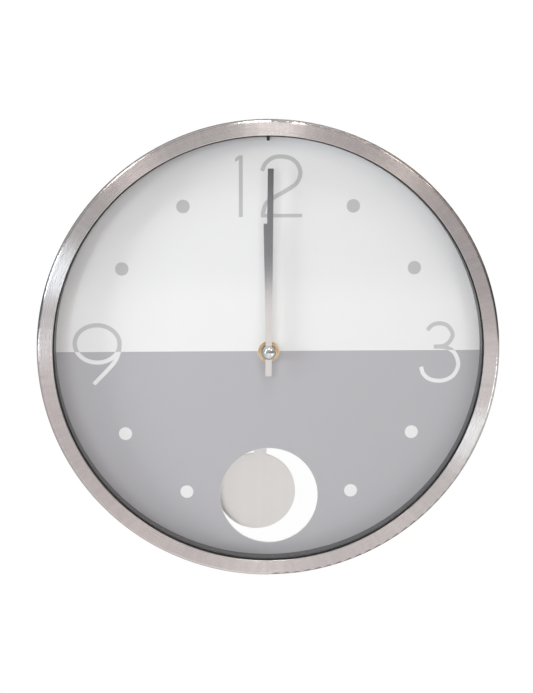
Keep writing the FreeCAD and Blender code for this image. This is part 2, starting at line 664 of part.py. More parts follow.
def intermediate_wheel():
    pinion = gear(SECONDS_M, INTER_PINION_TEETH, INTER_PINION_Y, INTER_AT, INTER_ANGLE + 180, gap=True)
    wheel = gear(INTER_M, INTER_TEETH, INTER_WHEEL_Y, INTER_AT, ROTOR_ANGLE)
    return fused(pinion, wheel, rod(INTER_ARBOR_R, PLATE_Y[0], PIVOT_END_Y, *INTER_AT))


def rotor_pinion():
    pinion = gear(INTER_M, ROTOR_PINION_TEETH, ROTOR_PINION_Y, ROTOR_AT, ROTOR_ANGLE + 180, gap=True)
    return fused(pinion, rod(FINE_ARBOR_R, PLATE_Y[0], PIVOT_END_Y, *ROTOR_AT))


def rotor_magnet():
    return tube(FINE_ARBOR_R, ROTOR_MAGNET_R, ROTOR_MAGNET_Y[0], ROTOR_MAGNET_Y[1], *ROTOR_AT)


# ---------------------------------------------------------------- stepping motor

def stator():
    """Soft-iron plate around the rotor, with an arm to each end of the coil core."""
    x, z = ROTOR_AT
    y0, y1 = STATOR_Y
    left = COIL_X - CORE_W / 2
    ring = rod(STATOR_RING_R, y0, y1, x, z)
    low_z = COIL_LOW - YOKE_DROP
    upper = block(x, left, y0, y1, z + STATOR_ARM_LOW, z + YOKE_TOP)
    riser = block(x - STATOR_HALF_W, x + STATOR_HALF_W, y0, y1, low_z, z)
    lower = block(x - STATOR_HALF_W, left, y0, y1, low_z, low_z + 2 * STATOR_HALF_W)
    return fused(ring, upper, riser, lower).cut(rod(STATOR_BORE_R, y0, y1, x, z))


def coil_core():
    left = COIL_X - CORE_W / 2
    return block(left, left + CORE_W, STATOR_Y[0], STATOR_Y[1], COIL_LOW - YOKE_DROP, ROTOR_AT[1] + YOKE_TOP)


def across_coil(half_x, half_y, z0, z1):
    middle_y = (STATOR_Y[0] + STATOR_Y[1]) / 2
    return block(COIL_X - half_x, COIL_X + half_x, middle_y - half_y, middle_y + half_y, z0, z1)


def upright(radius, z0, z1):
    middle_y = (STATOR_Y[0] + STATOR_Y[1]) / 2
    return Part.makeCylinder(radius, z1 - z0, V(COIL_X, middle_y, z0), V(0, 0, 1))


def coil_bobbin():
    tube_part = across_coil(COIL_TUBE_X / 2, COIL_TUBE_Y / 2, COIL_LOW, COIL_HIGH)
    low = upright(COIL_FLANGE_R, COIL_LOW, COIL_LOW + COIL_FLANGE_T)
    high = upright(COIL_FLANGE_R, COIL_HIGH - COIL_FLANGE_T, COIL_HIGH)
    hole = across_coil(CORE_W / 2 + FIT, (STATOR_Y[1] - STATOR_Y[0]) / 2 + FIT, COIL_LOW, COIL_HIGH)
    return fused(tube_part, low, high).cut(hole)


def coil_winding():
    low, high = COIL_LOW + COIL_FLANGE_T, COIL_HIGH - COIL_FLANGE_T
    return upright(COIL_R, low, high).cut(across_coil(COIL_TUBE_X / 2, COIL_TUBE_Y / 2, low, high))


# ---------------------------------------------------------------- electrics

def along_x(radius, x0, x1):
    return Part.makeCylinder(radius, x1 - x0, V(x0, CELL_Y, CELL_Z), V(1, 0, 0))


def battery():
    body = along_x(CELL_R, CELL_LOW_X, CELL_LOW_X + CELL_LEN)
    body = body.makeFillet(CELL_ROUND, [edge for edge in body.Edges if isinstance(edge.Curve, Part.Circle)])
    return fused(body, along_x(NUB_R, CELL_LOW_X + CELL_LEN, CELL_LOW_X + CELL_LEN + NUB_LEN))


def contact_strip(x):
    return block(x, x + CONTACT_T, CELL_Y - CONTACT_HALF_Y, CELL_Y + CONTACT_HALF_Y,
                 CELL_Z - CONTACT_HALF_Z, CELL_Z + CONTACT_HALF_Z)


def battery_contact_positive():
    wall_x = HOUSE_X - HOUSE_WALL
    strip = contact_strip(wall_x - CONTACT_T)
    return fused(strip, along_x(DIMPLE_R, CELL_LOW_X + CELL_LEN + NUB_LEN, wall_x - CONTACT_T))


def battery_contact_spring():
    """Strip with two coils of spring that press on the flat end of the cell."""
    wall_x = -HOUSE_X + HOUSE_WALL
    wide_x = wall_x + CONTACT_T + 0.7 * SPRING_WIRE_R
    wide = Part.makeTorus(SPRING_WIDE_R, SPRING_WIRE_R, V(wide_x, CELL_Y, CELL_Z), V(1, 0, 0))
    end_x = CELL_LOW_X - SPRING_WIRE_R
    end = Part.makeTorus(SPRING_END_R, SPRING_WIRE_R, V(end_x, CELL_Y, CELL_Z), V(1, 0, 0))
    return fused(contact_strip(wall_x), wide, end)


def circuit_board():
    return block(*BOARD_X, BOARD_Y, BOARD_Y + BOARD_T, *BOARD_Z)


def quartz_crystal():
    x, z = CRYSTAL_AT
    return Part.makeCylinder(CRYSTAL_R, CRYSTAL_LEN, V(x, BOARD_Y - CRYSTAL_R, z), V(0, 0, 1))


def clock_chip():
    return block(*CHIP_X, BOARD_Y - CHIP_T, BOARD_Y, *CHIP_Z)


# ---------------------------------------------------------------- pendulum

def leaning(shape):
    """Turn a pendulum piece from plumb to its stored place."""
    return turned(shape, SWING_AT_REST, 0, PIVOT_Z)


def pendulum_pivot_pin():
    return rod(ARM_PIN_R, HOUSE_IN_Y, COVER_Y, 0, PIVOT_Z)


def pendulum_arm():
    """Plastic drive arm: hub, stem, magnet rim, and a cheek with a stub for the blade."""
    y0, y1 = PENDULUM_Y - ARM_T / 2, PENDULUM_Y + ARM_T / 2
    blade_front = PENDULUM_Y - BLADE_T / 2
    front, back = y0 - ARM_HUB_PROUD, y1 + ARM_HUB_PROUD
    hook_z = PIVOT_Z - HOOK_DROP
    rod_top_z = PIVOT_Z - ROD_TOP_DROP
    hub = rod(ARM_HUB_R, front, back, 0, PIVOT_Z)
    stem = block(-ARM_W / 2, ARM_W / 2, y0, y1, rod_top_z + STEM_GAP, PIVOT_Z)
    rim = rod(MAGNET_RIM_R, y0, y1, 0, PIVOT_Z - MAGNET_DROP)
    cheek = block(-ARM_W / 2, ARM_W / 2, front, blade_front - CHEEK_GAP, hook_z - CHEEK_REACH,
                  rod_top_z + CHEEK_REACH)
    stub = rod(HOOK_R, blade_front - CHEEK_GAP, PENDULUM_Y + BLADE_T / 2 + STUB_PROUD, 0, hook_z)
    arm = fused(hub, stem, rim, cheek, stub)
    arm = arm.cut(rod(ARM_PIN_R + PIVOT_FIT, front, back, 0, PIVOT_Z))
    return leaning(arm.cut(rod(MAGNET_R, y0, y1, 0, PIVOT_Z - MAGNET_DROP)))


def arm_magnet():
    y0, y1 = PENDULUM_Y - ARM_T / 2, PENDULUM_Y + ARM_T / 2
    return leaning(rod(MAGNET_R, y0, y1 + MAGNET_PROUD, 0, PIVOT_Z - MAGNET_DROP))


def pendulum_blade():
    """Rod and bob, cut from one flat sheet and hung on the stub of the arm."""
    y0, y1 = PENDULUM_Y - BLADE_T / 2, PENDULUM_Y + BLADE_T / 2
    bob = rod(BOB_R, y0, y1, 0, PIVOT_Z - BOB_DROP)
    strip = block(-ROD_W / 2, ROD_W / 2, y0, y1, PIVOT_Z - BOB_DROP, PIVOT_Z - ROD_TOP_DROP)
    hole = rod(HOOK_R + HOOK_FIT, y0, y1, 0, PIVOT_Z - HOOK_DROP)
    return leaning(fused(bob, strip).cut(hole))


def pendulum_coil_bobbin():
    z = PIVOT_Z - MAGNET_DROP
    y0, y1 = DRIVE_COIL_Y
    front = rod(DRIVE_COIL_R, y0, y0 + DRIVE_FLANGE_T, 0, z)
    back = rod(DRIVE_COIL_R, y1 - DRIVE_FLANGE_T, y1, 0, z)
    return fused(rod(DRIVE_CORE_R, y0, y1, 0, z), front, back)


def pendulum_coil_winding():
    y0, y1 = DRIVE_COIL_Y
    winding_r = DRIVE_COIL_R - 0.5
    return tube(DRIVE_CORE_R, winding_r, y0 + DRIVE_FLANGE_T, y1 - DRIVE_FLANGE_T, 0, PIVOT_Z - MAGNET_DROP)


PIECES = (
    case_ring, lens_gasket, lens, spacer_ring, dial, clamp_ring, case_tabs, clamp_screws, hanger_bracket,
    movement_housing, movement_rear_cover, cover_screws, plate_screws, train_plate, threaded_bushing,
    rubber_washer, brass_washer, hex_nut, hour_wheel, cannon_pinion, minute_hand, hand_cap_nut, hour_hand,
    motion_wheel, setting_knob, centre_wheel, third_wheel, seconds_wheel, intermediate_wheel, rotor_pinion,
    rotor_magnet, stator, coil_core, coil_bobbin, coil_winding, battery, battery_contact_positive,
    battery_contact_spring, circuit_board, quartz_crystal, clock_chip, pendulum_pivot_pin, pendulum_arm,
    arm_magnet, pendulum_blade, pendulum_coil_bobbin, pendulum_coil_winding,
)

os.makedirs("parts", exist_ok=True)
for piece in PIECES:
    shape = piece()
    name = piece.__name__
    shape.exportStep(f"parts/{name}.step")
    print(f"{name}: {len(shape.Solids)} solid(s), {shape.Volume:.2f} mm3, valid {shape.isValid()}")
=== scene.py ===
import json
import math

import bmesh
import bpy
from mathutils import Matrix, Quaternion, Vector
from mathutils.geometry import delaunay_2d_cdt


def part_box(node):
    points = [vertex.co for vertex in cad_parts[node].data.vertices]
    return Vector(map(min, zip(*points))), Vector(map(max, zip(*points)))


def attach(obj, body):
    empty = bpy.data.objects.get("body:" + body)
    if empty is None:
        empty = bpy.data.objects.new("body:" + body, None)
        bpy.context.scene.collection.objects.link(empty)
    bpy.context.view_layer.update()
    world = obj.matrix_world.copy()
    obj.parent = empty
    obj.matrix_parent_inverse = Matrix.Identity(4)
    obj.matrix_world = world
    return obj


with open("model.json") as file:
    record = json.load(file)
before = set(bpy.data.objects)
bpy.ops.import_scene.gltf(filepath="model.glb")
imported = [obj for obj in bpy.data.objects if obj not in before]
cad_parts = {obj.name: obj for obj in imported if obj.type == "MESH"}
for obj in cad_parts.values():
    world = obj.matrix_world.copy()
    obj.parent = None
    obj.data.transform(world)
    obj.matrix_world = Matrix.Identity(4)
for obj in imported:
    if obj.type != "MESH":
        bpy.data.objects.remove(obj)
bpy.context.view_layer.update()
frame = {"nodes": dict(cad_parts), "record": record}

MM = 0.001

# The camera looks a little down on the clock, from just left of its middle.
CAMERA_AZIMUTH = -1.12
CAMERA_ELEVATION = 9.97
CAMERA_ROLL = -0.13
CAMERA_DISTANCE = 0.7912
CAMERA_LENS = 63.58
CAMERA_SENSOR = 36.0
CAMERA_TARGET = Vector((-0.00156, -0.042, 0.00531))

# The dial's front face, what is cut in it, and how thick its print is.
DIAL_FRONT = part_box("dial")[0].y
DIAL_R = 139.2 * MM
WINDOW_R = 32.75 * MM
WINDOW_Z = -98.0 * MM
HUB_CLEAR_R = 7.1 * MM
SPLIT_Z = 0.3 * MM
INK = 0.02 * MM
INK_SINK = 0.006 * MM

# The numerals' strokes and the dots of the other hours.
STROKE = 2.65 * MM
ONE_STROKE = 2.5 * MM
FOOT_STROKE = 2.3 * MM
NINE_STROKE = 2.8 * MM
THREE_STROKE = 2.7 * MM
DOT_R = 4.35 * MM
DOT_CIRCLE_R = 109.6 * MM
SPLIT_REACH = 200.0 * MM
FLAT_TOLERANCE = 1e-7

# The case's outer edge is polished beyond a radius, where its roughness falls to a share of what it was. Its
# brushing carries faint spokes of painted sheen in its colour, darker and lighter as the glints of brushed
# metal fall.
CASE_POLISH_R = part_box("case_ring")[1].x - 1.3 * MM
POLISH_BLEND = 0.6 * MM
POLISH_SHARE = 0.55
SPOKES_ACROSS = 60.0
SPOKES_ROUND = 40.0

# The depths of circular brushing, of a coil's turns and of the circuit board's pattern, and that one's scale.
BRUSHING_DEPTH = 0.02 * MM
TURNS_DEPTH = 0.06 * MM
TRACE_DEPTH = 0.04 * MM
BOARD_CELLS = 60.0

# Nearly all of a noise texture's values lie between these.
NOISE_LOW = 0.3
NOISE_HIGH = 0.7

# Colours are linear.
WHITE_PAINT = (0.79, 0.79, 0.79)
GREY_PAINT = (0.405, 0.40, 0.423)
GREY_INK = (0.50, 0.495, 0.495)


# ---------- materials ----------

def node_material(name):
    material = bpy.data.materials.new(name)
    material.use_nodes = True
    tree = material.node_tree
    tree.nodes.clear()
    output = tree.nodes.new("ShaderNodeOutputMaterial")
    shader = tree.nodes.new("ShaderNodeBsdfPrincipled")
    tree.links.new(shader.outputs["BSDF"], output.inputs["Surface"])
    return material, tree, shader


def object_place(tree):
    return tree.nodes.new("ShaderNodeTexCoord").outputs["Object"]


def feed(tree, sockets, values):
    """Set each socket to its number, or link it to another node's output."""
    for socket, value in zip(sockets, values):
        if isinstance(value, (int, float, tuple)):
            socket.default_value = value
        else:
            tree.links.new(value, socket)


def calc(tree, operation, *values):
    node = tree.nodes.new("ShaderNodeMath")
    node.operation = operation
    feed(tree, node.inputs, values)
    return node.outputs["Value"]


def vector_calc(tree, operation, *values):
    node = tree.nodes.new("ShaderNodeVectorMath")
    node.operation = operation
    feed(tree, node.inputs, values)
    return node.outputs["Vector"]


def joined(tree, *values):
    node = tree.nodes.new("ShaderNodeCombineXYZ")
    feed(tree, node.inputs, values)
    return node.outputs["Vector"]


def noise(tree, place, scale, detail=4.0, roughness=0.55):
    node = tree.nodes.new("ShaderNodeTexNoise")
    tree.links.new(place, node.inputs["Vector"])
    node.inputs["Scale"].default_value = scale
    node.inputs["Detail"].default_value = detail
    node.inputs["Roughness"].default_value = roughness
    return node.outputs["Fac"]


def mapped(tree, value, start, end, low, high):
    """From low to high as the value goes from start to end, and level outside."""
    node = tree.nodes.new("ShaderNodeMapRange")
    tree.links.new(value, node.inputs["Value"])
    node.inputs["From Min"].default_value = start
    node.inputs["From Max"].default_value = end
    node.inputs["To Min"].default_value = low
    node.inputs["To Max"].default_value = high
    return node.outputs["Result"]


def between(tree, fac, low, high):
    return mapped(tree, fac, NOISE_LOW, NOISE_HIGH, low, high)


def tones(tree, fac, first, second):
    node = tree.nodes.new("ShaderNodeMix")
    node.data_type = "RGBA"
    tree.links.new(fac, node.inputs["Factor"])
    node.inputs[6].default_value = (*first, 1.0)
    node.inputs[7].default_value = (*second, 1.0)
    return node.outputs[2]


def relief(tree, shader, height, strength, distance):
    node = tree.nodes.new("ShaderNodeBump")
    node.inputs["Strength"].default_value = strength
    node.inputs["Distance"].default_value = distance
    tree.links.new(height, node.inputs["Height"])
    tree.links.new(node.outputs["Normal"], shader.inputs["Normal"])


def ramp(tree, fac, stops):
    node = tree.nodes.new("ShaderNodeValToRGB")
    elements = node.color_ramp.elements
    while len(elements) < len(stops):
        elements.new(0.5)
    for element, (position, colour) in zip(elements, stops):
        element.position = position
        element.color = (*colour, 1.0)
    tree.links.new(fac, node.inputs["Fac"])
    return node.outputs["Color"]


def blended(tree, blend, first, second):
    node = tree.nodes.new("ShaderNodeMix")
    node.data_type = "RGBA"
    node.blend_type = blend
    node.inputs["Factor"].default_value = 1.0
    tree.links.new(first, node.inputs[6])
    tree.links.new(second, node.inputs[7])
    return node.outputs[2]


def product(tree, first, second):
    return blended(tree, "MULTIPLY", first, second)


def scaled(colour, factor):
    return tuple(min(1.0, c * factor) for c in colour)


def around_colour(tree, fac, colour, spread):
    """The colour, a little darker or lighter by the noise."""
    darker = scaled(colour, 1.0 - spread)
    lighter = scaled(colour, 1.0 + spread)
    return tones(tree, between(tree, fac, 0.0, 1.0), darker, lighter)


def grained(name, colour, rough, metallic=0.0, grain=900.0, spread=0.06,
            stretch=(1.0, 1.0, 1.0), bump=0.15, height=0.00005):
    """A painted, moulded or drawn surface: two near tones, an uneven gloss and a fine grain."""
    material, tree, shader = node_material(name)
    place = vector_calc(tree, "MULTIPLY", object_place(tree), stretch)
    broad = noise(tree, place, grain * 0.08)
    fine = noise(tree, place, grain, 6.0)
    tone = calc(tree, "ADD", calc(tree, "MULTIPLY", broad, 0.5), calc(tree, "MULTIPLY", fine, 0.5))
    tree.links.new(around_colour(tree, tone, colour, spread), shader.inputs["Base Color"])
    tree.links.new(between(tree, fine, *rough), shader.inputs["Roughness"])
    shader.inputs["Metallic"].default_value = metallic
    relief(tree, shader, fine, bump, height)
    return material


def around_axis(tree):
    """The radius from the hands' axis, the angle round it, the depth, and the way across circular lines."""
    split = tree.nodes.new("ShaderNodeSeparateXYZ")
    tree.links.new(object_place(tree), split.inputs[0])
    across, depth, up = split.outputs
    radius = calc(tree, "SQRT", calc(tree, "ADD", calc(tree, "MULTIPLY", across, across),
                                     calc(tree, "MULTIPLY", up, up)))
    angle = calc(tree, "ARCTAN2", across, up)
    along_lines = joined(tree, up, 0.0, calc(tree, "MULTIPLY", across, -1.0))
    normal = tree.nodes.new("ShaderNodeNewGeometry").outputs["Normal"]
    across_lines = vector_calc(tree, "NORMALIZE", vector_calc(tree, "CROSS_PRODUCT", normal, along_lines))
    return radius, angle, depth, across_lines


def painted_spoke_sheen(tree, radius, angle, strength):
    """Painted sheen: faint darker and lighter spokes in the colour that run outward, standing in for the
    glints of brushed metal.
    """
    place = joined(tree, calc(tree, "MULTIPLY", radius, SPOKES_ACROSS),
                   calc(tree, "MULTIPLY", angle, SPOKES_ROUND))
    glint = noise(tree, place, 1.0, 4.0, 0.6)
    return tones(tree, between(tree, glint, 0.0, 1.0), (1.0 - strength,) * 3, (1.0,) * 3)


def turned_metal(name, colour, rough, anisotropy, lines, sweep, spread, bump, rays=0.0, polished_beyond=None):
    """Metal brushed or turned in circles round the hands' axis."""
    material, tree, shader = node_material(name)
    radius, angle, depth, tangent = around_axis(tree)
    place = joined(tree, calc(tree, "MULTIPLY", radius, lines), calc(tree, "MULTIPLY", angle, sweep),
                   calc(tree, "MULTIPLY", depth, lines))
    streak = noise(tree, place, 1.0, 5.0, 0.6)
    colours = around_colour(tree, streak, colour, spread)
    # rays sets how strong the painted sheen is: spokes darkened into the colour, standing in for radial
    # glints.
    if rays:
        colours = product(tree, colours, painted_spoke_sheen(tree, radius, angle, rays))
    tree.links.new(colours, shader.inputs["Base Color"])
    gloss = between(tree, streak, *rough)
    if polished_beyond:
        polish = mapped(tree, radius, polished_beyond - POLISH_BLEND, polished_beyond, 1.0, POLISH_SHARE)
        gloss = calc(tree, "MULTIPLY", gloss, polish)
    tree.links.new(gloss, shader.inputs["Roughness"])
    tree.links.new(tangent, shader.inputs["Tangent"])
    shader.inputs["Metallic"].default_value = 1.0
    shader.inputs["Anisotropic"].default_value = anisotropy
    relief(tree, shader, streak, bump, BRUSHING_DEPTH)
    return material


def clear_glass(name):
    material, tree, shader = node_material(name)
    wisp = noise(tree, object_place(tree), 7.0, 2.0)
    tree.links.new(between(tree, wisp, 0.0, 0.004), shader.inputs["Roughness"])
    shader.inputs["Base Color"].default_value = (0.985, 0.992, 0.99, 1.0)
    shader.inputs["Transmission Weight"].default_value = 1.0
    shader.inputs["IOR"].default_value = 1.5
    return material


def banded(name, first, second, scale, axis, rough, metallic=0.0):
    """A wound coil or a printed sleeve: even bands along one direction."""
    material, tree, shader = node_material(name)
    wave = tree.nodes.new("ShaderNodeTexWave")
    wave.wave_type = "BANDS"
    wave.bands_direction = axis
    wave.inputs["Scale"].default_value = scale
    wave.inputs["Distortion"].default_value = 0.6
    wave.inputs["Detail"].default_value = 2.0
    tree.links.new(object_place(tree), wave.inputs["Vector"])
    tree.links.new(tones(tree, wave.outputs["Fac"], first, second), shader.inputs["Base Color"])
    tree.links.new(between(tree, wave.outputs["Fac"], *rough), shader.inputs["Roughness"])
    shader.inputs["Metallic"].default_value = metallic
    relief(tree, shader, wave.outputs["Fac"], 0.6, TURNS_DEPTH)
    return material


def board_green(name):
    material, tree, shader = node_material(name)
    cells = tree.nodes.new("ShaderNodeTexBrick")
    place = vector_calc(tree, "MULTIPLY", object_place(tree), (BOARD_CELLS,) * 3)
    tree.links.new(place, cells.inputs["Vector"])
    cells.inputs["Color1"].default_value = (0.015, 0.11, 0.045, 1.0)
    cells.inputs["Color2"].default_value = (0.012, 0.09, 0.04, 1.0)
    cells.inputs["Mortar"].default_value = (0.05, 0.26, 0.1, 1.0)
    tree.links.new(cells.outputs["Color"], shader.inputs["Base Color"])
    shader.inputs["Roughness"].default_value = 0.3
    relief(tree, shader, cells.outputs["Fac"], 0.4, TRACE_DEPTH)
    return material


def steel_case():
    # The case's colour carries spokes of painted sheen, at the strength given by rays.
    return turned_metal("case_brushed_steel", (0.76, 0.715, 0.70), (0.25, 0.31), anisotropy=1.0, lines=2400.0,
                        sweep=1.4, spread=0.04, bump=0.1, rays=0.12, polished_beyond=CASE_POLISH_R)


def dial_white():
    return grained("dial_white_paint", WHITE_PAINT, (0.42, 0.5), grain=2500.0, spread=0.006, bump=0.05,
                   height=0.00001)


def dial_grey():
    return grained("dial_grey_paint", GREY_PAINT, (0.4, 0.5), grain=2500.0, spread=0.01, bump=0.05,
                   height=0.00001)


def ink(name, colour):
    return grained(name, colour, (0.42, 0.5), grain=3000.0, spread=0.01, bump=0.05, height=0.00001)


def hand_metal():
    return grained("hand_brushed_metal", (0.74, 0.72, 0.70), (0.05, 0.09), metallic=1.0, grain=2500.0,
                   spread=0.03, stretch=(1.0, 1.0, 0.04), bump=0.02, height=0.000004)


SLOT_MATERIALS = {
    "case_steel": steel_case(),
    "lens_glass": clear_glass("lens_clear_glass"),
    "gasket_foam": grained("gasket_black_foam", (0.02, 0.02, 0.02), (0.75, 0.95), grain=1500.0, bump=0.5,
                           height=0.0001),
    "black_plastic": grained("moulded_black_plastic", (0.022, 0.022, 0.024), (0.32, 0.45), grain=1600.0,
                             spread=0.15, bump=0.25, height=0.00004),
    "dial_paint": dial_white(),
    "zinc_steel": grained("zinc_plated_sheet", (0.60, 0.61, 0.63), (0.28, 0.42), metallic=1.0, grain=500.0,
                          spread=0.08, stretch=(1.0, 1.0, 0.2), bump=0.1),
    "screw_steel": grained("zinc_plated_screw", (0.62, 0.63, 0.64), (0.18, 0.32), metallic=1.0, grain=1500.0,
                           bump=0.1, height=0.00002),
    "washer_rubber": grained("washer_black_rubber", (0.025, 0.025, 0.025), (0.6, 0.8), grain=1500.0,
                             bump=0.3),
    "brass": turned_metal("turned_brass", (0.78, 0.58, 0.30), (0.14, 0.24), anisotropy=0.5, lines=5000.0,
                          sweep=2.0, spread=0.05, bump=0.08),
    "hand_metal": hand_metal(),
    "cap_chrome": turned_metal("plated_cap", (0.80, 0.79, 0.78), (0.05, 0.09), anisotropy=0.2, lines=5000.0,
                               sweep=2.0, spread=0.02, bump=0.03),
    "gear_plastic": grained("natural_acetal", (0.80, 0.78, 0.70), (0.35, 0.48), grain=1200.0, spread=0.03),
    "rotor_ferrite": grained("sintered_ferrite", (0.035, 0.035, 0.038), (0.4, 0.6), metallic=0.3,
                             grain=1800.0, spread=0.25, bump=0.3),
    "soft_iron": grained("annealed_iron", (0.36, 0.36, 0.37), (0.35, 0.55), metallic=1.0, spread=0.12),
    "coil_copper": banded("copper_turns", (0.52, 0.17, 0.06), (0.72, 0.30, 0.14), 900.0, "X", (0.25, 0.4),
                          metallic=0.9),
    "bobbin_plastic": grained("natural_nylon", (0.70, 0.68, 0.58), (0.4, 0.55), grain=1200.0, spread=0.03),
    "cell_wrap": banded("cell_sleeve", (0.05, 0.10, 0.20), (0.10, 0.17, 0.30), 18.0, "X", (0.22, 0.3)),
    "board_green": board_green("board_solder_mask"),
    "chip_epoxy": grained("chip_black_epoxy", (0.02, 0.02, 0.02), (0.25, 0.4), grain=1500.0, bump=0.2),
    "pendulum_metal": grained("pendulum_satin_metal", (0.82, 0.80, 0.775), (0.28, 0.36), metallic=1.0,
                              grain=2200.0, spread=0.03, stretch=(1.0, 1.0, 0.03), bump=0.06,
                              height=0.00001),
}


def dress_nodes():
    for part in frame["record"]["subparts"]:
        data = frame["nodes"][part["node"]].data
        data.materials.clear()
        data.materials.append(SLOT_MATERIALS[part["material_slot"]])


def clear_lens():
    """The lens casts no shadow on the dial and hides nothing from its light."""
    lens = frame["nodes"]["lens"]
    lens.visible_shadow = False
    lens.visible_diffuse = False


# ---------- the dial's print ----------

def stroke(points, width):
    """The four-cornered cells of a line of even width that follows the points."""
    left = []
    right = []
    for index, point in enumerate(points):
        before = points[max(index - 1, 0)]
        after = points[min(index + 1, len(points) - 1)]
        run = (Vector(after) - Vector(before)).normalized()
        side = Vector((-run.y, run.x)) * width / 2
        left.append(Vector(point) + side)
        right.append(Vector(point) - side)
    return [[left[i], right[i], right[i + 1], left[i + 1]] for i in range(len(points) - 1)]


def ellipse_arc(centre, radii, start, end, steps):
    """Points along an ellipse, with angles in degrees clockwise from the top."""
    points = []
    for i in range(steps + 1):
        angle = math.radians(start + (end - start) * i / steps)
        points.append((centre[0] + radii[0] * math.sin(angle), centre[1] + radii[1] * math.cos(angle)))
    return points


def circle(centre, radius, steps):
    return [Vector(p) for p in ellipse_arc(centre, (radius, radius), 0.0, 360.0, steps)[:-1]]


def thin_sheet(name, triangles, front, back, material):
    """A closed sheet between two depths, from flat triangles in X and Z."""
    mesh = bmesh.new()
    corners = {}

    def corner(point, depth):
        key = (round(point[0], 8), round(point[1], 8), depth)
        if key not in corners:
            corners[key] = mesh.verts.new((point[0], depth, point[1]))
        return corners[key]

    edges = {}
    for triangle in triangles:
        mesh.faces.new([corner(p, front) for p in triangle])
        mesh.faces.new([corner(p, back) for p in reversed(triangle)])
        for a, b in zip(triangle, triangle[1:] + triangle[:1]):
            key = frozenset((corner(a, front), corner(b, front)))
            edges.setdefault(key, []).append((a, b))
    for uses in edges.values():
        if len(uses) == 1:
            a, b = uses[0]
            mesh.faces.new([corner(b, front), corner(a, front), corner(a, back), corner(b, back)])
    bmesh.ops.recalc_face_normals(mesh, faces=mesh.faces)
    data = bpy.data.meshes.new(name)
    mesh.to_mesh(data)
    mesh.free()
    data.materials.append(material)
    piece = bpy.data.objects.new(name, data)
    bpy.context.scene.collection.objects.link(piece)
    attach(piece, "clock")


def united(cells):
    """Flat triangles that cover every cell once, cut along the line where the two colours meet."""
    points = []
    faces = []
    for cell in cells:
        area = sum(a.x * b.y - b.x * a.y for a, b in zip(cell, cell[1:] + cell[:1]))
        ordered = cell if area > 0 else list(reversed(cell))
        faces.append(list(range(len(points), len(points) + len(ordered))))
        points.extend(ordered)
    count = len(points)
    points += [Vector((-SPLIT_REACH, SPLIT_Z)), Vector((SPLIT_REACH, SPLIT_Z))]
    split = [(count, count + 1)]
    made, _, triangles, _, _, sources = delaunay_2d_cdt(points, split, faces, 0, FLAT_TOLERANCE, True)
    return [[tuple(made[i]) for i in face] for face, source in zip(triangles, sources) if source]


def middle_height(triangle):
    return sum(p[1] for p in triangle) / len(triangle)


def in_mm(points):
    return [(x * MM, z * MM) for x, z in points]


def smooth(points, steps=10):
    """A smooth line through the points."""
    made = []
    padded = [points[0]] + list(points) + [points[-1]]
    for i in range(1, len(padded) - 2):
        p0, p1, p2, p3 = (Vector(p) for p in padded[i - 1:i + 3])
        for k in range(steps):
            t = k / steps
            made.append(tuple(0.5 * ((2 * p1) + (p2 - p0) * t + (2 * p0 - 5 * p1 + 4 * p2 - p3) * t * t
                                     + (3 * p1 - p0 - 3 * p2 + p3) * t * t * t)))
    made.append(tuple(points[-1]))
    return made


def numeral_twelve():
    one = stroke(in_mm([(-17.5, 127.2), (-17.7, 88.0)]), ONE_STROKE)
    flag = [[Vector(p) for p in in_mm([(-18.8, 127.2), (-18.8, 124.6), (-21.1, 122.9), (-21.1, 125.3)])]]
    bowl = smooth([(-3.9, 117.4), (-1.8, 122.0), (2.8, 125.6), (8.2, 126.5), (14.6, 125.2), (19.0, 121.2),
                   (20.6, 115.7), (18.4, 109.9), (13.2, 105.9), (3.4, 100.3), (-1.4, 96.6), (-3.3, 91.2),
                   (-3.6, 88.8)])
    foot = stroke(in_mm([(-4.8, 88.85), (21.8, 88.85)]), FOOT_STROKE)
    return one + flag + stroke(in_mm(bowl), STROKE) + foot


def numeral_nine():
    bowl = ellipse_arc((-112.1, 5.6), (14.65, 12.4), 0.0, 360.0, steps=72)
    tail = smooth([(-97.5, 4.0), (-98.6, -1.6), (-102.4, -8.2), (-114.9, -21.2)])
    return stroke(in_mm(bowl), NINE_STROKE) + stroke(in_mm(tail), STROKE)


def numeral_three():
    upper = smooth([(104.2, 13.6), (107.6, 17.0), (112.3, 18.1), (117.6, 16.4), (120.9, 11.0), (119.2, 6.2),
                    (115.8, 3.4), (111.6, 2.65), (108.7, 2.65)])
    lower = smooth([(112.6, 2.65), (117.6, 1.8), (122.6, -1.8), (125.1, -8.9), (123.0, -15.4), (118.6, -19.0),
                    (113.0, -20.3), (106.6, -19.2), (102.2, -15.6), (100.6, -10.8)])
    return stroke(in_mm(upper), THREE_STROKE) + stroke(in_mm(lower), THREE_STROKE)


def hour_dots():
    cells = []
    for hour in (1, 2, 4, 5, 7, 8, 10, 11):
        angle = math.radians(30 * hour)
        place = (DOT_CIRCLE_R * math.sin(angle), DOT_CIRCLE_R * math.cos(angle))
        cells.append(circle(place, DOT_R, steps=40))
    return cells


def split_angle(radius):
    """Where a circle about the hands' axis meets the split line, in degrees clockwise from the top."""
    return 90.0 - math.degrees(math.asin(SPLIT_Z / radius))


def lower_half_outline():
    """The grey half's outer edge, and back along the split line round the hub's notch."""
    edge = split_angle(DIAL_R)
    outer = ellipse_arc((0.0, 0.0), (DIAL_R, DIAL_R), edge, 360.0 - edge, steps=120)
    hub = split_angle(HUB_CLEAR_R)
    notch = ellipse_arc((0.0, 0.0), (HUB_CLEAR_R, HUB_CLEAR_R), 360.0 - hub, hub, steps=40)
    return [Vector(p) for p in outer + notch]


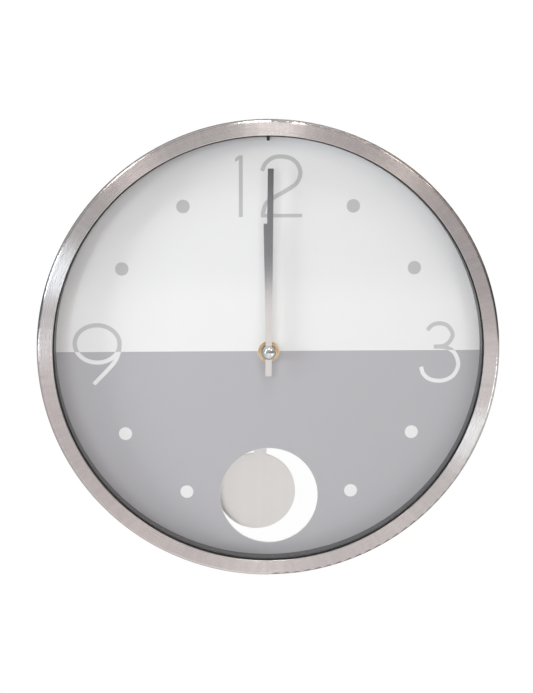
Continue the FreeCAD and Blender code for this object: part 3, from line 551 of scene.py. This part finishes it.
def grey_half():
    """The lower half of the dial in grey, with the window left open."""
    outline = lower_half_outline()
    window = circle((0.0, WINDOW_Z), WINDOW_R, steps=96)
    points = outline + window
    ring = list(range(len(outline)))
    hole = list(range(len(outline), len(points)))
    faces = [list(reversed(ring)), list(reversed(hole))]
    made, _, triangles, _, _, sources = delaunay_2d_cdt(points, [], faces, 0, FLAT_TOLERANCE, True)
    kept = [[tuple(made[i]) for i in face] for face, source in zip(triangles, sources) if source == [0]]
    thin_sheet("dial_grey_half", kept, DIAL_FRONT - INK, DIAL_FRONT + INK_SINK, dial_grey())


def print_dial():
    """Grey print above the split line, white print below it, and the grey half under the white."""
    cells = numeral_twelve() + numeral_nine() + numeral_three() + hour_dots()
    triangles = united(cells)
    upper = [t for t in triangles if middle_height(t) > SPLIT_Z]
    lower = [t for t in triangles if middle_height(t) < SPLIT_Z]
    thin_sheet("dial_numerals_grey", upper, DIAL_FRONT - INK, DIAL_FRONT + INK_SINK,
               ink("ink_grey", GREY_INK))
    thin_sheet("dial_numerals_white", lower, DIAL_FRONT - 2 * INK, DIAL_FRONT - INK + INK_SINK,
               ink("ink_white", WHITE_PAINT))
    grey_half()


# ---------- stage, light and camera ----------

# The zones of the room. Each has pairs of a height, as the sine of a direction's elevation, and its strength
# there, then its colour to the left, ahead and to the right. The level zone is dark, as a studio is on the
# camera's side.
ROOM_ZONES = {
    "below": (((-0.138, 1.0), (-0.118, 0.15), (-0.105, 0.0)),
              (0.60, 0.56, 0.57), (0.98, 0.94, 0.94), (0.76, 0.75, 0.74)),
    "level": (((-0.138, 0.0), (-0.120, 1.0), (-0.105, 0.85), (-0.055, 0.85), (-0.045, 0.55), (0.12, 0.6),
               (0.30, 0.0)),
              (0.25, 0.27, 0.29), (0.36, 0.36, 0.39), (0.15, 0.15, 0.15)),
    "above": (((0.12, 0.0), (0.30, 1.0), (0.60, 1.0), (0.85, 0.0)),
              (0.46, 0.48, 0.48), (0.48, 0.45, 0.44), (0.42, 0.36, 0.33)),
    "top": (((0.60, 0.0), (0.85, 1.0)),
            (0.62, 0.63, 0.63), (0.62, 0.63, 0.63), (0.62, 0.63, 0.63)),
}
# The share of the room's width that lies between its left and right colours.
ROOM_SIDE = 0.75
# The room's strength from straight in front (0) to straight behind (1).
ROOM_BEHIND = ((0.0, 1.0), (0.5, 1.0), (0.62, 0.45), (1.0, 0.4))

FLOOR_HALF = 30.0
FLOOR_LEVEL = -1.4

# Each lamp: name, place, size, power and colour. These light the clock and show in its metal and glass.
LAMPS = (
    ("lamp_left", (-0.85, -1.0, 0.14), (0.20, 0.20), 1.9, (0.78, 0.91, 1.00)),
    ("lamp_left_low", (-0.865, -0.9, -0.155), (0.12, 0.12), 0.4, (0.80, 0.90, 1.00)),
    ("lamp_right_low", (0.917, -0.934, -0.586), (0.22, 0.22), 1.2, (0.85, 0.94, 1.00)),
    ("lamp_upper_left", (-0.657, -1.04, 0.706), (0.25, 0.25), 1.2, (1.00, 0.86, 0.81)),
    ("lamp_upper_right", (0.713, -1.02, 0.706), (0.25, 0.25), 1.0, (1.00, 0.90, 0.81)),
)
# Lamps that light no paint and only leave a highlight in metal and glass.
GLINT_LAMPS = (
    ("glint_front_top", (0.06, -1.0, 1.0), (0.3, 0.3), 3.3, (1.00, 0.97, 0.94)),
)
# Lamps that light the dial's paint and leave no highlight in metal or glass.
FILL_LAMPS = (
    ("fill_front", (0.0, -1.6, 0.3), (0.5, 0.5), 3.0, (1.00, 1.00, 1.00)),
    ("fill_overhead", (0.02, -0.30, 1.25), (0.4, 0.5), 7.0, (1.00, 1.00, 1.00)),
    ("fill_far_left", (-1.3, -0.36, 0.08), (0.3, 0.3), 13.0, (0.97, 1.00, 1.00)),
)


def floor_white():
    material = bpy.data.materials.new("floor_white")
    material.use_nodes = True
    tree = material.node_tree
    tree.nodes.clear()
    output = tree.nodes.new("ShaderNodeOutputMaterial")
    glow = tree.nodes.new("ShaderNodeEmission")
    glow.inputs["Color"].default_value = (1.0, 1.0, 1.0, 1.0)
    tree.links.new(glow.outputs["Emission"], output.inputs["Surface"])
    return material


def plain_floor():
    """A white floor that the camera sees and that lights nothing."""
    corners = [(x * FLOOR_HALF, y * FLOOR_HALF, FLOOR_LEVEL) for x, y in ((-1, -1), (1, -1), (1, 1), (-1, 1))]
    data = bpy.data.meshes.new("floor")
    data.from_pydata(corners, [], [(0, 1, 2, 3)])
    data.materials.append(floor_white())
    floor = bpy.data.objects.new("floor", data)
    bpy.context.scene.collection.objects.link(floor)
    floor.visible_diffuse = False
    floor.visible_glossy = False
    floor.visible_transmission = False
    floor.visible_shadow = False


def zero_to_one(tree, value):
    return calc(tree, "ADD", calc(tree, "MULTIPLY", value, 0.5), 0.5)


def grey_stops(pairs):
    return [(position, (share,) * 3) for position, share in pairs]


def room_colour(tree, direction):
    """The zones added up, each strong at its heights, and weaker behind the clock."""
    sideways = zero_to_one(tree, direction.outputs["X"])
    height = zero_to_one(tree, direction.outputs["Z"])
    graded = None
    for shares, left, ahead, right in ROOM_ZONES.values():
        strong = ramp(tree, height, grey_stops((sine / 2 + 0.5, share) for sine, share in shares))
        across = ((0.5 - ROOM_SIDE / 2, left), (0.5, ahead), (0.5 + ROOM_SIDE / 2, right))
        zone = product(tree, strong, ramp(tree, sideways, across))
        graded = zone if graded is None else blended(tree, "ADD", graded, zone)
    behind = ramp(tree, zero_to_one(tree, direction.outputs["Y"]), grey_stops(ROOM_BEHIND))
    return product(tree, graded, behind)


def studio_world():
    """White behind the clock, and a graded room for what lights it and what it reflects."""
    world = bpy.data.worlds.new("studio")
    world.use_nodes = True
    tree = world.node_tree
    tree.nodes.clear()
    output = tree.nodes.new("ShaderNodeOutputWorld")
    backdrop = tree.nodes.new("ShaderNodeBackground")
    backdrop.inputs["Color"].default_value = (1.0, 1.0, 1.0, 1.0)
    room = tree.nodes.new("ShaderNodeBackground")
    direction = tree.nodes.new("ShaderNodeSeparateXYZ")
    tree.links.new(tree.nodes.new("ShaderNodeTexCoord").outputs["Generated"], direction.inputs[0])
    tree.links.new(room_colour(tree, direction), room.inputs["Color"])
    # The white shows to the camera, and through the window to rays that go away from it through the lens.
    rays = tree.nodes.new("ShaderNodeLightPath")
    choice = tree.nodes.new("ShaderNodeMixShader")
    through = calc(tree, "MULTIPLY", rays.outputs["Is Transmission Ray"],
                   calc(tree, "GREATER_THAN", direction.outputs["Y"], 0.0))
    tree.links.new(calc(tree, "MAXIMUM", rays.outputs["Is Camera Ray"], through), choice.inputs["Fac"])
    tree.links.new(room.outputs["Background"], choice.inputs[1])
    tree.links.new(backdrop.outputs["Background"], choice.inputs[2])
    tree.links.new(choice.outputs["Shader"], output.inputs["Surface"])
    bpy.context.scene.world = world


def area_lamp(name, place, size, power, colour):
    data = bpy.data.lights.new(name, "AREA")
    data.shape = "RECTANGLE"
    data.size, data.size_y = size
    data.energy = power
    data.color = colour
    lamp = bpy.data.objects.new(name, data)
    lamp.location = place
    lamp.rotation_euler = Vector(place).to_track_quat("Z", "Y").to_euler()
    bpy.context.scene.collection.objects.link(lamp)
    return lamp


def studio_lamps():
    for lamp in LAMPS:
        area_lamp(*lamp)
    for lamp in GLINT_LAMPS:
        area_lamp(*lamp).visible_diffuse = False
    for lamp in FILL_LAMPS:
        fill = area_lamp(*lamp)
        fill.visible_glossy = False
        fill.visible_transmission = False


def place_camera():
    azimuth = math.radians(CAMERA_AZIMUTH)
    elevation = math.radians(CAMERA_ELEVATION)
    back = Vector((math.sin(azimuth) * math.cos(elevation), -math.cos(azimuth) * math.cos(elevation),
                   math.sin(elevation)))
    data = bpy.data.cameras.new("camera")
    data.lens = CAMERA_LENS
    data.sensor_width = CAMERA_SENSOR
    camera = bpy.data.objects.new("camera", data)
    camera.location = CAMERA_TARGET + back * CAMERA_DISTANCE
    turn = (-back).to_track_quat("-Z", "Y") @ Quaternion((0.0, 0.0, 1.0), math.radians(CAMERA_ROLL))
    camera.rotation_euler = turn.to_euler()
    bpy.context.scene.collection.objects.link(camera)
    bpy.context.scene.camera = camera


dress_nodes()
print_dial()
clear_lens()
plain_floor()
studio_world()
studio_lamps()
place_camera()
bpy.context.scene.view_settings.view_transform = "Standard"
